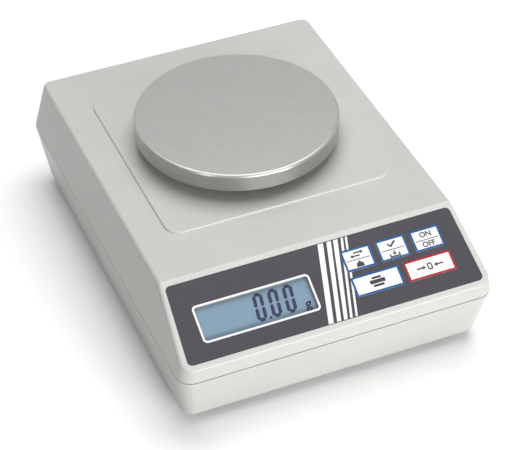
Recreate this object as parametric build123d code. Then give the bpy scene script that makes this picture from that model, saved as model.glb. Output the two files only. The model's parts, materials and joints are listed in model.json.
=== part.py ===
from build123d import *
import math
import os

# Compact top-loading balance, in millimetres. X runs to the right, Y to the rear and Z up.
# The origin is on the table, under the middle of the housing.

# Housing
WIDTH = 165.0
DEPTH = 228.0
GROUND_GAP = 5.0
BASE_HEIGHT = 29.0
BASE_SIDE_DRAFT = 4.2
BASE_FRONT_DRAFT = 8.5
BASE_REAR_DRAFT = 10.0
BASE_CORNER = 6.0
BASE_EDGE = 1.2
COVER_HEIGHT = 29.5
COVER_SIDE_DRAFT = 5.3
COVER_FRONT_DRAFT = 2.0
COVER_REAR_DRAFT = 9.5
PARTING_CORNER = 8.0
PLATEAU_CORNER = 4.5
COVER_EDGE = 2.0
CREST_HEIGHT = 7.5
PLATEAU_SETBACK = 41.5
WALL = 2.5
GROOVE = 0.6
TONGUE = 1.1
TONGUE_HEIGHT = 3.0
TONGUE_GAP = 0.1

# Platform, opening and pan
PAN_RADIUS = 52.5
PAN_HEIGHT = 9.5
PAN_SHEET = 1.0
PAN_EDGE = 1.4
PAN_LIP = 0.4
PAN_OFFSET = 1.0
PAN_GAP = 6.0
PLATFORM = 120.0
PLATFORM_RISE = 1.0
PLATFORM_CORNER = 8.0
PLATFORM_EDGE = 0.6
OPENING_RADIUS = 11.0
COLLAR_WALL = 2.0
COLLAR_RISE = 1.8

# Pan support, on a post of the load frame
SUPPORT_RADIUS = 36.0
SUPPORT_PLATE = 2.5
SUPPORT_RIB = 1.6
SUPPORT_RIB_DEPTH = 1.6
SUPPORT_RIBS = 8
HUB_RADIUS = 9.0
HUB_DEPTH = 5.0
POST_RADIUS = 7.0
SPIGOT_RADIUS = 5.0
SPIGOT_HEIGHT = 5.5
SPIGOT_TIP_GAP = 0.5
SOCKET_CLEARANCE = 0.06
BUFFER_RADIUS = 4.5
BUFFER_HEIGHT = 4.0
BUFFER_STEM = 2.0
BUFFER_CIRCLE = 27.0
BUFFERS = 4
RING_WALL = 1.5
RING_HEIGHT = 5.0
RING_GAP = 0.4

# Load cell and load frame
CELL_LENGTH = 80.0
CELL_WIDTH = 15.0
CELL_HEIGHT = 22.0
CELL_BORE = 9.3
CELL_SHOULDER = 9.0
CELL_SLOT = 4.0
CELL_SCREW_INSET = 6.0
CELL_SCREW_PITCH = 8.0
GAUGE = (5.0, 8.0, 0.3)
PAD_HEIGHT = 4.0
PLINTH_HEIGHT = 4.0
PLINTH_MARGIN = 2.5
BRACKET_WIDTH = 22.0
BRACKET_PAD = 2.0
BRACKET_PLATE = 3.0
BRACKET_TAIL = 12.0
POST_FLANGE = (10.0, 2.0)
TAB_GAP = 1.0
TAB_DROP = 1.5
DEFLECTION = 0.5
STOP_GAP = 0.1
M4_RADIUS = 2.0
M4_HEAD = (3.5, 2.6)
M4_HOLE_GAP = 0.15
M4_ENGAGEMENT = 8.0

# Control panel: places are (across, up the slope) from the middle of the front crest
PANEL_WALL = 3.2
FILM_LOWER_MARGIN = 5.3
FILM_UPPER_MARGIN = 7.8
FILM_START = 3.0
FILM_END_MARGIN = 2.8
FILM_CORNER = 2.5
FILM = 0.4
FILM_SUNK = 0.1
FILM_GAP = 0.1
WINDOW_MARGIN = 9.45
WINDOW_HEIGHT = 17.6
WINDOW_ROW = 21.2
WINDOW_CORNER = 1.3
WINDOW_FLANGE = 2.0
WINDOW_THICK = 1.8
WINDOW_TO_KEYS = 19.85
KEYS_MARGIN = 9.2
SMALL_KEY = (15.4, 11.2)
LARGE_KEY = (25.2, 10.4)
SMALL_ROW = 31.0
LARGE_ROW = 17.1
SMALL_PITCH = 18.5
LARGE_PITCH = 28.0
KEY_CORNER = 1.0
KEY_CAP = 0.5
KEY_GAP = 0.12
KEY_TRAVEL = 0.4
KEY_FLOOR_GAP = 0.1
PLUNGER_RADIUS = 2.5
PLUNGER_GAP = 0.1

# Display module and the board behind the panel
DISPLAY_GAP = 0.3
GLASS_MARGINS = (3.0, 3.2)
GLASS_THICK = 2.4
BEZEL_WALL = 0.6
BEZEL_GAP = 0.25
ZEBRA_WIDTH = 1.6
ZEBRA_END_GAP = 3.25
BACKLIGHT_GAPS = (1.25, 0.9)
BACKLIGHT_THICK = 2.6
BOARD_MARGIN = 12.5
BOARD_HEIGHT = 39.0
BOARD_ROW = 21.5
BOARD_THICK = 1.6
BOARD_CORNER = 2.0
BOARD_DEPTH = 9.4
BOARD_SCREW_INSET = (5.0, 3.0)
BOARD_BOSS = 2.6
SWITCH_BODY = (6.0, 3.2)
SWITCH_STEM = (1.7, 1.0)
SWITCH_GAP = 0.05
M2_RADIUS = 1.0
M2_HEAD = (1.9, 1.3)
M2_ENGAGEMENT = 4.0
SCREW_GAP = 0.05

# Screws that hold the base to the cover
PILLAR_RADIUS = 4.0
PILLAR_INSET = 12.5
PILLAR_END_INSETS = (56.0, 48.0)
PILLAR_SHELF = 19.0
HOUSING_SCREW = 1.5
HOUSING_SCREW_HEAD = (2.8, 2.0)
HOUSING_SCREW_LENGTH = 16.0
DRIVE_GAP = 0.6

# Levelling feet
FOOT_INSET = (18.5, 26.0)
FOOT_PAD = (7.5, 1.9)
FOOT_GAP = 0.2
FOOT_WHEEL = (10.0, 2.6)
FOOT_KNURLS = 20
FOOT_KNURL = 0.5
FOOT_PIN = (2.0, 1.4)
FOOT_PIN_GAP = 0.08
STUD_RADIUS = 3.0
STUD_GAP = 0.06
STUD_HEIGHT = 9.0
INSERT_WALL = 1.4
FOOT_BOSS_WALL = 2.0
FOOT_BOSS_HEIGHT = 9.5

# Battery compartment
BATTERY = (26.5, 46.4, 17.5)
BATTERY_CORNER = 2.0
BATTERY_INSET = 39.5
BATTERY_GAP = 0.5
BATTERY_REST = 0.3
SNAP = (24.0, 4.0, 12.0)
COMPARTMENT_WALL = 1.6
DOOR_THICK = 1.7
DOOR_GAP = 0.2
DOOR_TONGUE = (1.2, 0.8)
DOOR_RIDGES = 5
DOOR_RIDGE = (16.0, 1.2, 0.5)

# Rear connectors, in a recess of the base
RECESS_INSET = 14.5
RECESS_WIDTH = 64.0
RECESS_HEIGHT = 20.0
RECESS_DEPTH = 13.0
RECESS_LIFT = 2.5
JACK_INSET = 11.0
JACK_BODY = (10.0, 12.0, 10.0)
JACK_NECK = 4.6
JACK_BORE = 3.2
JACK_DEPTH = 9.0
JACK_PIN = 1.05
NECK_LENGTH = 2.0
PORT_INSET = 25.0
PORT_SHELL = (16.9, 8.4)
PORT_TAPER = 1.6
PORT_CORNER = 1.8
PORT_SHELL_LENGTH = 5.6
PORT_SHELL_WALL = 0.5
PORT_FLANGE = (30.8, 12.5, 0.9)
PORT_BODY = (19.2, 10.6, 7.0)
PORT_PITCH = 24.99
PORT_PIN = 0.5
PORT_PIN_PITCH = 2.77
PORT_ROW = 1.42
HEX_SCREW = (2.5, 4.8)
HEX_STUD = 1.4
HEX_BORE = 1.2
HEX_BORE_DEPTH = 4.0

# Main board
MAIN_BOARD = (40.0, 96.0)
MAIN_BOARD_CLEAR = 27.0
MAIN_BOARD_LIFT = 6.0
MAIN_BOARD_INSET = 4.0
CHIPS = ((-8.0, -30.0, 12.0, 12.0, 2.0), (8.0, -26.0, 8.0, 16.0, 2.4), (-2.0, -10.0, 14.0, 10.0, 2.0),
         (9.0, 8.0, 10.0, 14.0, 6.0), (-2.0, 18.0, 9.0, 9.0, 4.5), (8.0, 34.0, 14.0, 7.0, 8.0))

# Leads inside the housing, and their headers
HEADER = (5.0, 5.0, 5.0)
HEADER_END = 1.0
RIBBON = (12.0, 0.9)
RIBBON_EXIT = 10.0
RIBBON_BENDS = (9.0, 25.0, 3.0)
CELL_LEAD_RADIUS = 1.4
CELL_LEAD_RISE = 7.0
CELL_LEAD_BEND = 5.0
BATTERY_LEAD_RADIUS = 0.7
BATTERY_LEAD_SPREAD = 1.0
BATTERY_LEAD_DROP = 2.2
BATTERY_LEAD_EXIT = 3.0
BATTERY_LEAD_BENDS = (5.0, 8.0, 8.0)

# Ribs
RIB = 1.5
BASE_RIB_HEIGHT = 4.0
BASE_RIB_OFFSET = 16.0
BASE_RIB_SETBACKS = (36.0, 64.0)
COVER_RIB_HEIGHT = 5.0
COVER_RIB_OFFSETS = (-47.0, 53.0)

# Places that follow from the sizes above
BASE_BOTTOM = GROUND_GAP
PARTING = BASE_BOTTOM + BASE_HEIGHT
TOP = PARTING + COVER_HEIGHT
FRONT = -DEPTH / 2
FLOOR = BASE_BOTTOM + WALL
BASE_RIM = PARTING - GROOVE / 2
COVER_RIM = PARTING + GROOVE / 2
CEILING = TOP - WALL
PLATEAU_FRONT = FRONT + PLATEAU_SETBACK
PAN_Y = (PLATEAU_FRONT + DEPTH / 2 - COVER_REAR_DRAFT) / 2 + PAN_OFFSET
PLATFORM_TOP = TOP + PLATFORM_RISE
PAN_BOTTOM = PLATFORM_TOP + PAN_GAP
PAN_TOP = PAN_BOTTOM + PAN_HEIGHT
PAN_UNDERSIDE = PAN_TOP - PAN_SHEET
SUPPORT_TOP = PAN_UNDERSIDE - BUFFER_HEIGHT
SUPPORT_BOTTOM = SUPPORT_TOP - SUPPORT_PLATE
POST_SHOULDER = SUPPORT_BOTTOM - HUB_DEPTH

CELL_BOTTOM = FLOOR + PAD_HEIGHT + PLINTH_HEIGHT
CELL_TOP = CELL_BOTTOM + CELL_HEIGHT
CELL_FRONT = PAN_Y - CELL_LENGTH / 2
CELL_REAR = PAN_Y + CELL_LENGTH / 2
CELL_END = 2 * CELL_SCREW_INSET + CELL_SCREW_PITCH
CELL_BORE_OFFSET = CELL_LENGTH / 2 - CELL_END - CELL_SHOULDER
BRACKET_BOTTOM = CELL_TOP + BRACKET_PAD
BRACKET_TOP = BRACKET_BOTTOM + BRACKET_PLATE
TAB_BOTTOM = CELL_BOTTOM - TAB_DROP
INSERT_TOP = FLOOR + FOOT_BOSS_HEIGHT - WALL / 2

CREST_Y = FRONT + COVER_FRONT_DRAFT * CREST_HEIGHT / COVER_HEIGHT
CREST_Z = PARTING + CREST_HEIGHT
SLOPE = math.atan2(TOP - CREST_Z, PLATEAU_FRONT - CREST_Y)
PANEL = Plane((0, CREST_Y, CREST_Z), x_dir=(1, 0, 0), z_dir=(0, -math.sin(SLOPE), math.cos(SLOPE)))
FILM_LOWER_HALF = WIDTH / 2 - FILM_LOWER_MARGIN
FILM_UPPER_HALF = WIDTH / 2 - FILM_UPPER_MARGIN
FILM_END = math.hypot(TOP - CREST_Z, PLATEAU_FRONT - CREST_Y) - FILM_END_MARGIN
FILM_SEAT = FILM_SUNK + FILM
KEYS_LEFT = FILM_UPPER_HALF - KEYS_MARGIN - 2 * SMALL_PITCH - SMALL_KEY[0]
WINDOW_LEFT = WINDOW_MARGIN - FILM_UPPER_HALF
WINDOW = (KEYS_LEFT - WINDOW_TO_KEYS - WINDOW_LEFT, WINDOW_HEIGHT)
WINDOW_AT = (WINDOW_LEFT + WINDOW[0] / 2, WINDOW_ROW)
WINDOW_SEAT = FILM_SUNK + WINDOW_THICK
GLASS = (WINDOW[0] + 2 * GLASS_MARGINS[0], WINDOW[1] + 2 * GLASS_MARGINS[1], GLASS_THICK)
GLASS_DEPTH = PANEL_WALL + DISPLAY_GAP
ZEBRA = (GLASS[0] - 2 * ZEBRA_END_GAP, ZEBRA_WIDTH)
BACKLIGHT = (
    GLASS[0] - 2 * BACKLIGHT_GAPS[0], GLASS[1] - 2 * (ZEBRA_WIDTH + BACKLIGHT_GAPS[1]), BACKLIGHT_THICK
)
BOARD = (WIDTH - 2 * BOARD_MARGIN, BOARD_HEIGHT)
BOARD_AT = (0.0, BOARD_ROW)
BIG = 2 * (WIDTH + DEPTH)

KEYS = {
    "key_mode": (SMALL_KEY, KEYS_LEFT + SMALL_KEY[0] / 2, SMALL_ROW),
    "key_set": (SMALL_KEY, KEYS_LEFT + SMALL_KEY[0] / 2 + SMALL_PITCH, SMALL_ROW),
    "key_power": (SMALL_KEY, KEYS_LEFT + SMALL_KEY[0] / 2 + 2 * SMALL_PITCH, SMALL_ROW),
    "key_print": (LARGE_KEY, KEYS_LEFT + LARGE_KEY[0] / 2, LARGE_ROW),
    "key_tare": (LARGE_KEY, KEYS_LEFT + LARGE_KEY[0] / 2 + LARGE_PITCH, LARGE_ROW),
}

PILLAR_X = WIDTH / 2 - PILLAR_INSET
PILLAR_FRONT = FRONT + PILLAR_END_INSETS[0]
PILLAR_REAR = DEPTH / 2 - PILLAR_END_INSETS[1]
PILLAR_YS = (PILLAR_FRONT, (PILLAR_FRONT + PILLAR_REAR) / 2, PILLAR_REAR)
PILLARS = [(side * PILLAR_X, y) for side in (-1, 1) for y in PILLAR_YS]
FOOT_X = WIDTH / 2 - FOOT_INSET[0]
FOOT_Y = DEPTH / 2 - FOOT_INSET[1]
FEET = {
    f"{end}_{hand}": (side * FOOT_X, way * FOOT_Y)
    for end, way in (("front", -1), ("rear", 1))
    for hand, side in (("left", -1), ("right", 1))
}
LIVE_SCREW_YS = [CELL_FRONT + CELL_SCREW_INSET + i * CELL_SCREW_PITCH for i in range(2)]
FIXED_SCREW_YS = [CELL_REAR - CELL_SCREW_INSET - i * CELL_SCREW_PITCH for i in range(2)]

BATTERY_AT = (-(FOOT_X + CELL_WIDTH / 2) / 2, DEPTH / 2 - BATTERY_INSET)
COMPARTMENT_HALF = BATTERY[0] / 2 + BATTERY_GAP
DOOR_TOP = BASE_BOTTOM + DOOR_THICK
BATTERY_BOTTOM = DOOR_TOP + BATTERY_REST
COMPARTMENT_TOP = BATTERY_BOTTOM + BATTERY[2] + BATTERY_GAP
COMPARTMENT_REAR = BATTERY_AT[1] + BATTERY[1] / 2 + BATTERY_GAP
COMPARTMENT_FRONT = BATTERY_AT[1] - BATTERY[1] / 2 - SNAP[1] - 2 * BATTERY_GAP

RECESS_FACE = DEPTH / 2 - RECESS_DEPTH
RECESS_BOTTOM = FLOOR + RECESS_LIFT
RECESS_RIGHT = WIDTH / 2 - RECESS_INSET
RECESS_X = (RECESS_RIGHT - RECESS_WIDTH, RECESS_RIGHT)
CONNECTOR_Z = RECESS_BOTTOM + RECESS_HEIGHT / 2
JACK_X = RECESS_X[0] + JACK_INSET
PORT_X = RECESS_X[1] - PORT_INSET
MAIN_BOARD_AT = (
    (PILLAR_X - PILLAR_RADIUS + CELL_WIDTH / 2) / 2, RECESS_FACE - MAIN_BOARD_CLEAR - MAIN_BOARD[1] / 2
)


def lerp(start, end, share):
    """The value a share of the way from start to end."""
    return start + (end - start) * share


def outline(half_width, front, rear, radius, z):
    """A rounded rectangle lying at height z, symmetric about X = 0."""
    return Pos(0, (front + rear) / 2, z) * RectangleRounded(2 * half_width, rear - front, radius)


def base_section(z, inset=0.0):
    """Outline of the base's outer wall at height z, moved inwards by inset."""
    share = (z - BASE_BOTTOM) / BASE_HEIGHT
    half = WIDTH / 2 - BASE_SIDE_DRAFT * (1 - share)
    front = FRONT + BASE_FRONT_DRAFT * (1 - share)
    rear = DEPTH / 2 - BASE_REAR_DRAFT * (1 - share)
    radius = lerp(BASE_CORNER, PARTING_CORNER, share)
    return outline(half - inset, front + inset, rear - inset, radius - inset, z)


def cover_section(z, inset=0.0):
    """Outline of the cover's outer wall at height z, moved inwards by inset."""
    share = (z - PARTING) / COVER_HEIGHT
    half = WIDTH / 2 - COVER_SIDE_DRAFT * share
    front = FRONT + COVER_FRONT_DRAFT * share
    rear = DEPTH / 2 - COVER_REAR_DRAFT * share
    radius = lerp(PARTING_CORNER, PLATEAU_CORNER, share)
    return outline(half - inset, front + inset, rear - inset, radius - inset, z)


def between(section, low, high, inset=0.0):
    """Solid inside a drafted wall from height low to height high."""
    return loft([section(low, inset), section(high, inset)], ruled=True)


def above_panel(depth=0.0):
    """Everything above a plane that lies depth below the panel's surface."""
    return PANEL * Pos(0, 0, BIG / 2 - depth) * Box(BIG, BIG, BIG)


def on_panel(shape, across, up, depth=0.0):
    """A shape drawn on the XY plane, placed on the panel with its origin depth below the surface."""
    return PANEL * Pos(across, up, -depth) * shape


def plate(width, length, thickness, radius=0.0):
    """A flat plate with its top face at z = 0."""
    sketch = RectangleRounded(width, length, radius) if radius else Rectangle(width, length)
    return extrude(sketch, -thickness)


def post(radius, low, high, x=0.0, y=0.0):
    """An upright cylinder between two heights."""
    return Pos(x, y, low) * extrude(Circle(radius), high - low)


def block(x_range, y_range, z_range):
    """A box between two values on each axis."""
    sizes = [high - low for low, high in (x_range, y_range, z_range)]
    middles = [(high + low) / 2 for low, high in (x_range, y_range, z_range)]
    return Pos(*middles) * Box(*sizes)


def film_outline(grow=0.0):
    """The film's outline on the panel: a trapezium with rounded corners."""
    corners = (
        (-FILM_LOWER_HALF - grow, FILM_START - grow),
        (FILM_LOWER_HALF + grow, FILM_START - grow),
        (FILM_UPPER_HALF + grow, FILM_END + grow),
        (-FILM_UPPER_HALF - grow, FILM_END + grow),
    )
    sketch = Polygon(*corners, align=None)
    return fillet(sketch.vertices(), FILM_CORNER + grow)


def key_shape(size, grow, thickness):
    """A key's rounded plate, grown by a clearance, with its top face at z = 0."""
    return plate(size[0] + 2 * grow, size[1] + 2 * grow, thickness, KEY_CORNER + grow)


def base_outer():
    """The base as a full solid, with its lower edge rounded."""
    solid = between(base_section, BASE_BOTTOM, BASE_RIM)
    return fillet(solid.faces().sort_by(Axis.Z)[0].edges(), BASE_EDGE)


def tongue():
    """The rim that stands up from the base inside the cover and closes the parting groove."""
    outer = WALL - TONGUE
    root = BASE_RIM - GROOVE
    tip = PARTING + TONGUE_HEIGHT
    return between(cover_section, root, tip, outer) - between(cover_section, root - 1, tip + 1, WALL)


def door_slot(gap):
    """The door's cross-section, grown by a gap and run out past the rear wall."""
    half = COMPARTMENT_HALF + gap
    low = DOOR_TOP - DOOR_TONGUE[1] - gap
    y_range = (COMPARTMENT_FRONT - COMPARTMENT_WALL - gap, DEPTH)
    x = BATTERY_AT[0]
    plate_part = block((x - half, x + half), y_range, (BASE_BOTTOM - gap, DOOR_TOP + gap))
    wide = half + DOOR_TONGUE[0]
    return plate_part + block((x - wide, x + wide), y_range, (low, DOOR_TOP + gap))


def compartment():
    """The battery compartment's walls and roof, solid, and the space inside it."""
    x = BATTERY_AT[0]
    inside = COMPARTMENT_HALF
    outside = COMPARTMENT_HALF + COMPARTMENT_WALL
    walls = block(
        (x - outside, x + outside),
        (COMPARTMENT_FRONT - COMPARTMENT_WALL, COMPARTMENT_REAR + COMPARTMENT_WALL),
        (FLOOR - WALL / 2, COMPARTMENT_TOP + COMPARTMENT_WALL),
    )
    space = block(
        (x - inside, x + inside), (COMPARTMENT_FRONT, COMPARTMENT_REAR), (BASE_BOTTOM - 1, COMPARTMENT_TOP)
    )
    return walls, space


def hex_bar(across_flats, length):
    """A hexagonal bar along +Z."""
    return extrude(RegularPolygon(across_flats / 2, 6, major_radius=False), length)


def port_outline(grow=0.0):
    """The D-shaped outline of the serial connector, long side up."""
    half, high = PORT_SHELL[0] / 2 + grow, PORT_SHELL[1] / 2 + grow
    points = ((-half, high), (half, high), (half - PORT_TAPER, -high), (-half + PORT_TAPER, -high))
    return fillet(Polygon(*points, align=None).vertices(), PORT_CORNER)


def facing_rear(shape, x, z, y=0.0):
    """A shape drawn on the XY plane with its normal up, turned to point to the rear."""
    return Pos(x, RECESS_FACE + y, z) * Rot(-90, 0, 0) * Rot(0, 0, 180) * shape


def base_shell():
    outer = base_outer()
    shell = outer - between(base_section, FLOOR, PARTING + 1, WALL)
    room = between(base_section, BASE_BOTTOM + WALL / 2, BASE_RIM, WALL / 2)

    # The recess for the rear connectors, with a wall of its own
    low, high = RECESS_X
    recess_top = RECESS_BOTTOM + RECESS_HEIGHT
    housing = block(
        (low - WALL, high + WALL), (RECESS_FACE - WALL, DEPTH), (FLOOR - WALL / 2, recess_top + WALL)
    )
    shell += housing & outer
    shell -= block((low, high), (RECESS_FACE, DEPTH), (RECESS_BOTTOM, recess_top))
    shell -= facing_rear(extrude(Circle(JACK_NECK + DOOR_GAP), WALL * 3, both=True), JACK_X, CONNECTOR_Z)
    body = Rectangle(PORT_BODY[0] + 2 * DOOR_GAP, PORT_BODY[1] + 2 * DOOR_GAP)
    shell -= facing_rear(extrude(body, WALL * 3, both=True), PORT_X, CONNECTOR_Z)

    # Pillars for the housing screws, feet and boards
    additions = [post(PILLAR_RADIUS, FLOOR - 1, PARTING, x, y) for x, y in PILLARS]
    boss = STUD_RADIUS + STUD_GAP + INSERT_WALL + FOOT_BOSS_WALL
    additions += [post(boss, FLOOR - 1, FLOOR + FOOT_BOSS_HEIGHT, x, y) for x, y in FEET.values()]
    additions += [post(BOARD_BOSS, FLOOR - 1, FLOOR + MAIN_BOARD_LIFT, x, y) for x, y in main_board_holes()]

    # The pad under the load cell's fixed end, the stop's boss and the ribs
    pad_half = CELL_WIDTH / 2 + PLINTH_MARGIN
    pad_front = FIXED_SCREW_YS[1] - CELL_SCREW_INSET
    additions.append(
        block((-pad_half, pad_half), (pad_front, CELL_REAR + PLINTH_MARGIN), (FLOOR - 1, FLOOR + PAD_HEIGHT))
    )
    additions.append(post(M4_HEAD[0] + RIB, FLOOR - 1, FLOOR + BASE_RIB_HEIGHT, 0, stop_y()))
    rib_z = (FLOOR - 1, FLOOR + BASE_RIB_HEIGHT)
    ribs = []
    for x in (-BASE_RIB_OFFSET, BASE_RIB_OFFSET):
        ribs.append(block((x - RIB / 2, x + RIB / 2), (FRONT, CELL_REAR), rib_z))
    for y in [FRONT + setback for setback in BASE_RIB_SETBACKS]:
        ribs.append(block((-WIDTH / 2, WIDTH / 2), (y - RIB / 2, y + RIB / 2), rib_z))
    additions += [rib & room for rib in ribs]

    walls, space = compartment()
    additions.append(walls)
    for addition in additions:
        shell += addition
    shell -= space
    shell -= door_slot(DOOR_GAP)
    shell -= battery_lead_slot()

    # Bores for the screws and the foot inserts
    shelf = BASE_BOTTOM + PILLAR_SHELF
    for x, y in PILLARS:
        shell -= post(HOUSING_SCREW_HEAD[0] + DRIVE_GAP, BASE_BOTTOM - 1, shelf, x, y)
        shell -= post(HOUSING_SCREW + M4_HOLE_GAP, shelf - 1, PARTING + 1, x, y)
    for x, y in FEET.values():
        shell -= post(STUD_RADIUS + STUD_GAP + INSERT_WALL, BASE_BOTTOM - 1, INSERT_TOP, x, y)
    for x, y in main_board_holes():
        shell -= post(M2_RADIUS + SCREW_GAP, FLOOR + MAIN_BOARD_LIFT - M2_ENGAGEMENT, PARTING, x, y)
    for y in FIXED_SCREW_YS:
        shell -= post(M4_RADIUS + M4_HOLE_GAP, BASE_BOTTOM - 1, CELL_BOTTOM, 0, y)
        shell -= post(M4_HEAD[0] + DRIVE_GAP / 2, BASE_BOTTOM - 1, cell_head_top(), 0, y)
    shell -= post(M4_RADIUS + SCREW_GAP, BASE_BOTTOM - 1, TAB_BOTTOM, 0, stop_y())
    return shell + tongue()


def stop_y():
    """Where the overload stop stands: under the load bracket's front tab."""
    return CELL_FRONT - TAB_GAP - BRACKET_PLATE / 2


def cell_head_top():
    """Height of the seat of the load cell's screws, in the underside of the base."""
    return BASE_BOTTOM + M4_HEAD[1] + DRIVE_GAP


def cover_outer():
    """The cover as a full solid, with the sloped panel and its upper edges rounded."""
    solid = between(cover_section, COVER_RIM, TOP) - above_panel()
    crown = solid.faces().sort_by(Axis.Z)[-1]
    slope = solid.faces().filter_by(PANEL).sort_by(SortBy.AREA)[-1]
    ridge = [edge for edge in crown.edges() if abs(edge.center().Y - PLATEAU_FRONT) > 0.01]
    return fillet(slope.edges() + ridge, COVER_EDGE)


def top_cover():
    cover = cover_outer()
    cavity = between(cover_section, COVER_RIM - 1, CEILING, WALL) - above_panel(PANEL_WALL)
    cover -= cavity

    # The raised platform, and the collar round the opening for the pan post
    platform = Pos(0, PAN_Y, PLATFORM_TOP) * plate(
        PLATFORM, PLATFORM, PLATFORM_RISE + WALL / 2, PLATFORM_CORNER
    )
    cover += fillet(platform.faces().sort_by(Axis.Z)[-1].edges(), PLATFORM_EDGE)
    collar = OPENING_RADIUS + COLLAR_WALL
    cover += post(collar, TOP - WALL / 2, PLATFORM_TOP + COLLAR_RISE, 0, PAN_Y)

    # Ribs under the plateau, posts for the housing screws and bosses for the display board
    ring = OPENING_RADIUS + COLLAR_WALL + RIB
    cover += post(ring, CEILING - COVER_RIB_HEIGHT, TOP - 1, 0, PAN_Y)
    rib_z = (CEILING - COVER_RIB_HEIGHT, TOP - 1)
    for y in [PAN_Y + offset for offset in COVER_RIB_OFFSETS]:
        cover += block((-WIDTH / 2, WIDTH / 2), (y - RIB / 2, y + RIB / 2), rib_z) & cavity
    for x, y in PILLARS:
        cover += post(PILLAR_RADIUS, PARTING, TOP - 1, x, y)
    bosses = [on_panel(plate_boss(), across, up, PANEL_WALL - 1) for across, up in board_holes()]
    for boss in bosses:
        cover += boss
    cover -= post(OPENING_RADIUS, CEILING - COVER_RIB_HEIGHT - 1, PAN_TOP, 0, PAN_Y)

    # Screw holes
    for x, y in PILLARS:
        cover -= post(HOUSING_SCREW + SCREW_GAP, PARTING - 1, PARTING + HOUSING_SCREW_LENGTH, x, y)
    for across, up in board_holes():
        pilot = extrude(Circle(M2_RADIUS + SCREW_GAP), M2_ENGAGEMENT)
        cover -= on_panel(pilot, across, up, BOARD_DEPTH)

    # The film's seat, the window's opening, and each key's pocket and plunger hole
    cover -= PANEL * extrude(film_outline(FILM_GAP), BIG / 20, both=True) & on_panel(
        extrude(Rectangle(BIG, BIG), BIG / 2), 0, 0, FILM_SEAT
    )
    flange = [size + 2 * (WINDOW_FLANGE + FILM_GAP) for size in WINDOW]
    cover -= on_panel(plate(*flange, WINDOW_SEAT, WINDOW_CORNER + WINDOW_FLANGE), *WINDOW_AT)
    cover -= on_panel(plate(*WINDOW, 2 * PANEL_WALL, WINDOW_CORNER), *WINDOW_AT)
    for size, across, up in KEYS.values():
        pocket = key_shape(size, KEY_GAP, KEY_CAP + KEY_TRAVEL + KEY_FLOOR_GAP)
        cover -= on_panel(pocket, across, up)
        hole = extrude(Circle(PLUNGER_RADIUS + PLUNGER_GAP), -2 * PANEL_WALL)
        cover -= on_panel(hole, across, up)

    # The rebate over the base's tongue
    lip = WALL - TONGUE - TONGUE_GAP
    cover -= between(cover_section, COVER_RIM - 1, PARTING + TONGUE_HEIGHT + TONGUE_GAP, lip) - screw_posts()
    return cover


def screw_posts():
    """The cover's screw posts as plain solids, kept when the rebate is cut."""
    posts = Part()
    for x, y in PILLARS:
        posts += post(PILLAR_RADIUS, PARTING, TOP - 1, x, y)
    return posts


def plate_boss():
    """A boss that carries the display board, from inside the panel wall down to the board."""
    return extrude(Circle(BOARD_BOSS), -(BOARD_DEPTH - PANEL_WALL + 1))


def board_holes():
    """The display board's screws, as (across, up) on the panel."""
    half = BOARD[0] / 2 - BOARD_SCREW_INSET[0]
    high = BOARD[1] / 2 - BOARD_SCREW_INSET[1]
    return [(BOARD_AT[0] + i * half, BOARD_AT[1] + j * high) for i in (-1, 1) for j in (-1, 1)]


def main_board_holes():
    """The main board's screws, as (x, y)."""
    half = MAIN_BOARD[0] / 2 - MAIN_BOARD_INSET
    high = MAIN_BOARD[1] / 2 - MAIN_BOARD_INSET
    return [(MAIN_BOARD_AT[0] + i * half, MAIN_BOARD_AT[1] + j * high) for i in (-1, 1) for j in (-1, 1)]


def screw(radius, length, head):
    """A screw along +Z: its head below z = 0 and its shank above."""
    shank = extrude(Circle(radius), length)
    cap = extrude(Circle(head[0]), -head[1])
    slot = Pos(0, 0, -head[1]) * Box(head[0], head[0] / 4, head[1])
    return shank + cap - slot


def battery_door():
    door = door_slot(0.0) & base_outer()
    x = BATTERY_AT[0]
    for i in range(DOOR_RIDGES):
        y = COMPARTMENT_REAR - 2 * DOOR_RIDGE[1] * (i + 1)
        door -= Pos(x, y, BASE_BOTTOM) * Box(DOOR_RIDGE[0], DOOR_RIDGE[1], 2 * DOOR_RIDGE[2])
    return door


def battery():
    x, y = BATTERY_AT
    cell = Pos(x, y, BATTERY_BOTTOM + BATTERY[2] / 2) * Box(*BATTERY)
    return fillet(cell.edges().filter_by(Axis.Y), BATTERY_CORNER)


def battery_snap():
    x = BATTERY_AT[0]
    front = COMPARTMENT_FRONT + BATTERY_GAP / 2
    low = BATTERY_BOTTOM + (BATTERY[2] - SNAP[2]) / 2
    carrier = block((x - SNAP[0] / 2, x + SNAP[0] / 2), (front, front + SNAP[1]), (low, low + SNAP[2]))
    return fillet(carrier.edges().filter_by(Axis.Y), BATTERY_CORNER)


def foot_inserts():
    """The four brass inserts that the feet turn in."""
    inserts = []
    for x, y in FEET.values():
        sleeve = post(STUD_RADIUS + STUD_GAP + INSERT_WALL, BASE_BOTTOM, INSERT_TOP, x, y)
        inserts.append(sleeve - post(STUD_RADIUS + STUD_GAP, BASE_BOTTOM - 1, INSERT_TOP + 1, x, y))
    return inserts


def foot_pad(x, y):
    """A rubber pad with the pin that the wheel turns on."""
    pad = post(FOOT_PAD[0], 0, FOOT_PAD[1], x, y)
    pad = chamfer(pad.edges().group_by(Axis.Z)[0], FOOT_PAD[1] / 4)
    return pad + post(FOOT_PIN[0], FOOT_PAD[1] / 2, FOOT_PAD[1] + FOOT_GAP + FOOT_PIN[1], x, y)


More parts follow.
